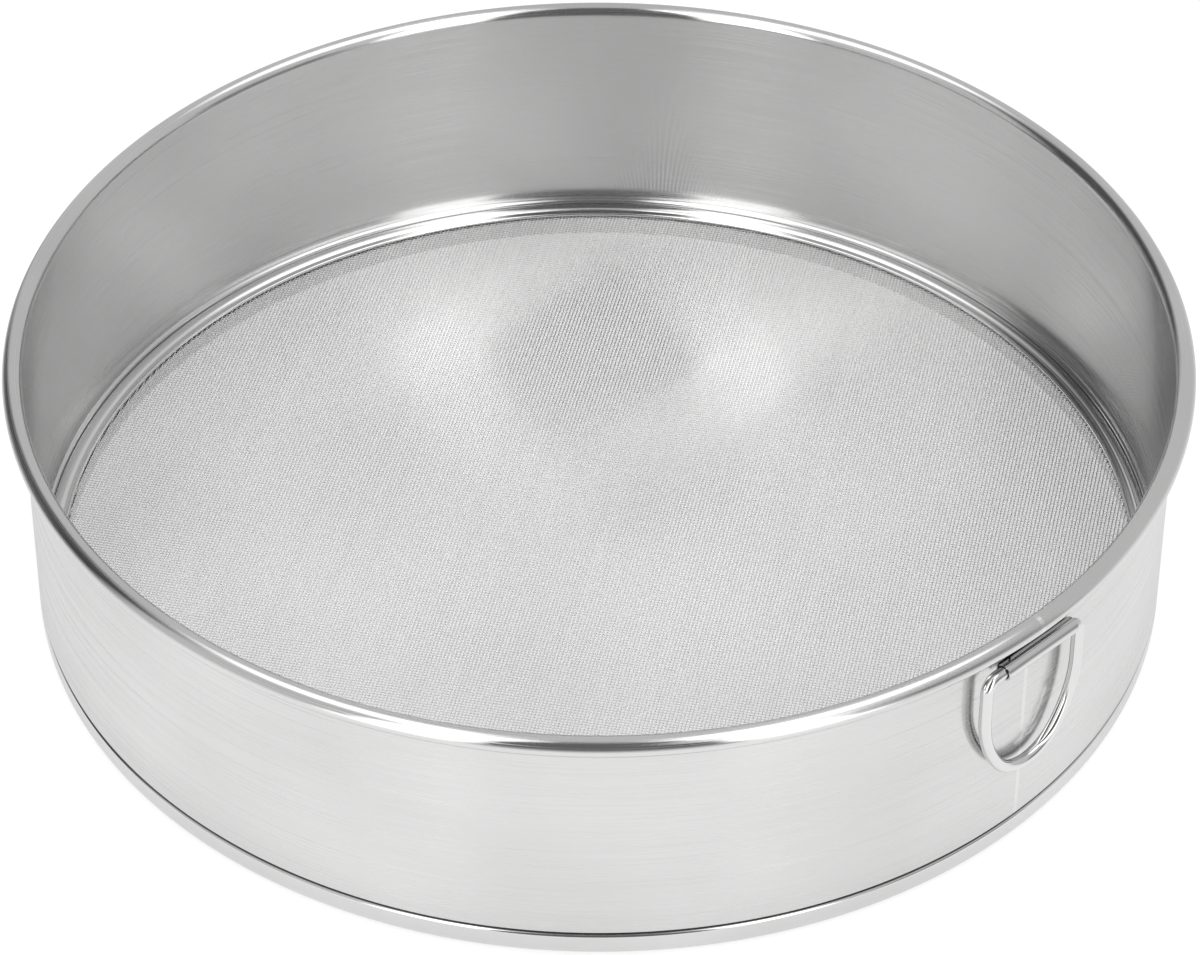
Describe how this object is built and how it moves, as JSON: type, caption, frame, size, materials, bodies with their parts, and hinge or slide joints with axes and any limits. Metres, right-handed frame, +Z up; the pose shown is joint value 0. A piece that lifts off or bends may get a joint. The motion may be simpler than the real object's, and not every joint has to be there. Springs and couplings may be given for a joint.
{
  "type": "drum sieve",
  "caption": "Round metal drum sieve with a rolled rim, a fine wire screen clamped near its base and a D-shaped hanging ring.",
  "frame": {"origin": "centre of the circle that the foot ring stands on, at the underside", "axes": "+Z up along the drum's axis, -Y towards the hanging ring, whose hinge axis lies along X"},
  "size_m": [0.3, 0.3, 0.0735],
  "materials": {
    "drum_sheet": "mirror-polished stainless sheet",
    "seam_metal": "weld ground flush and polished",
    "foot_sheet": "mirror-polished stainless sheet",
    "ring_sheet": "mirror-polished stainless sheet",
    "screen_wire": "drawn stainless wire cloth, satin",
    "core_wire": "drawn wire, dull",
    "clip_sheet": "polished stainless sheet",
    "weld_metal": "spot weld",
    "ring_wire": "polished stainless wire"
  },
  "bodies": {
    "drum": {"drum_wall": "drum_sheet", "seam_weld": "seam_metal", "rim_wire": "core_wire", "foot_ring": "foot_sheet", "inner_ring": "ring_sheet", "screen_mesh": "screen_wire", "screen_hoop": "core_wire", "ring_clip": "clip_sheet", "clip_welds": "weld_metal"},
    "hanging_ring": {"hanging_ring": "ring_wire"}
  },
  "joints": [
    {"name": "ring_swing", "type": "hinge", "parent": "drum", "child": "hanging_ring", "pos_m": [-0.00064, -0.1478, 0.0632], "axis": [-1, 0, 0], "range_deg": [-1, 154]}
  ]
}
